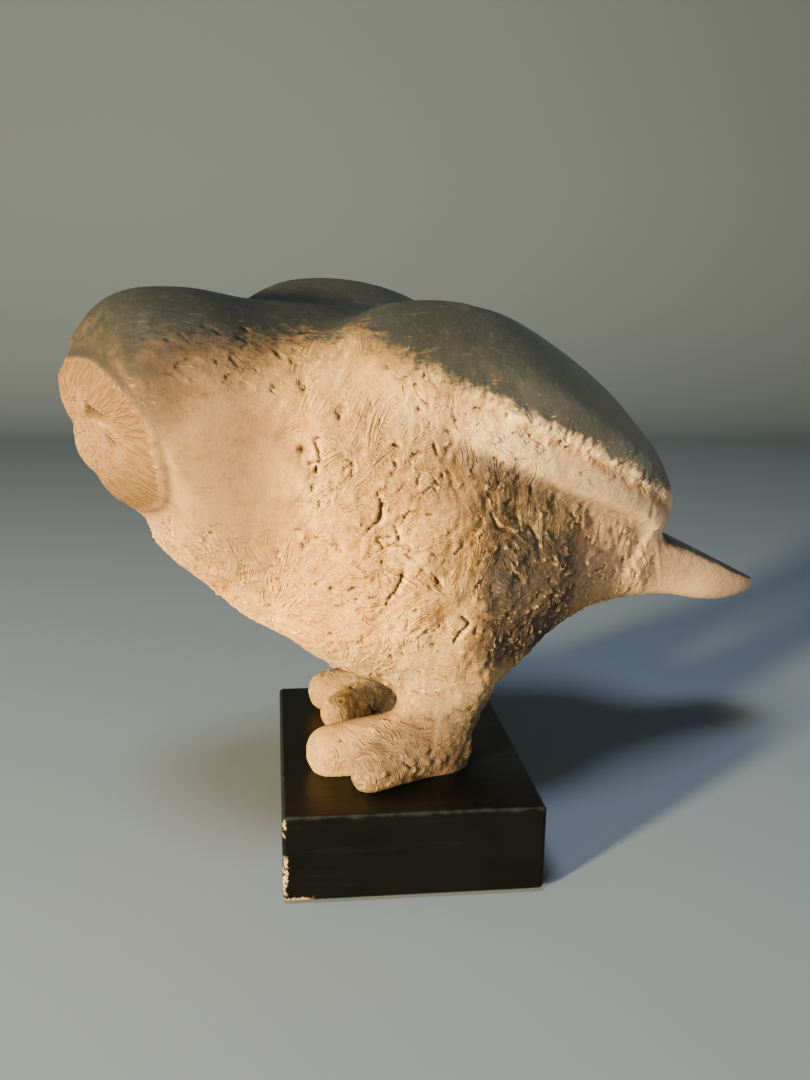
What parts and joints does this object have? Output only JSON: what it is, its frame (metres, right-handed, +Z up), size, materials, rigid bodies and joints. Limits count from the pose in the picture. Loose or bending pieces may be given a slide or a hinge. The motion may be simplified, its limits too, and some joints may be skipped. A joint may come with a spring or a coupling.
{
  "type": "owl figurine",
  "caption": "Hand-modelled owl with folded wings leaning forward over two broad feet, fixed by hidden studs to a low rectangular plinth.",
  "frame": {"origin": "centre of the felt's underside, the face the object rests on", "axes": "+Z up; X along the plinth's long side, +X the side the owl's left wing is on; the owl looks towards -Y, turned 20 degrees towards +X"},
  "size_m": [0.1891, 0.3717, 0.2762],
  "materials": {
    "clay": "matt fired clay with a dark patina on crown, back and wings",
    "painted_wood": "satin black paint, chipped at the edges",
    "felt": "matt felt",
    "filler": "cast filler",
    "steel": "zinc plated"
  },
  "bodies": {
    "root": {"owl_body": "clay", "plinth": "painted_wood", "felt_sheet": "felt", "left_anchor": "filler", "right_anchor": "filler", "left_stud": "steel", "right_stud": "steel", "left_washer": "steel", "right_washer": "steel", "left_nut": "steel", "right_nut": "steel"}
  },
  "joints": []
}
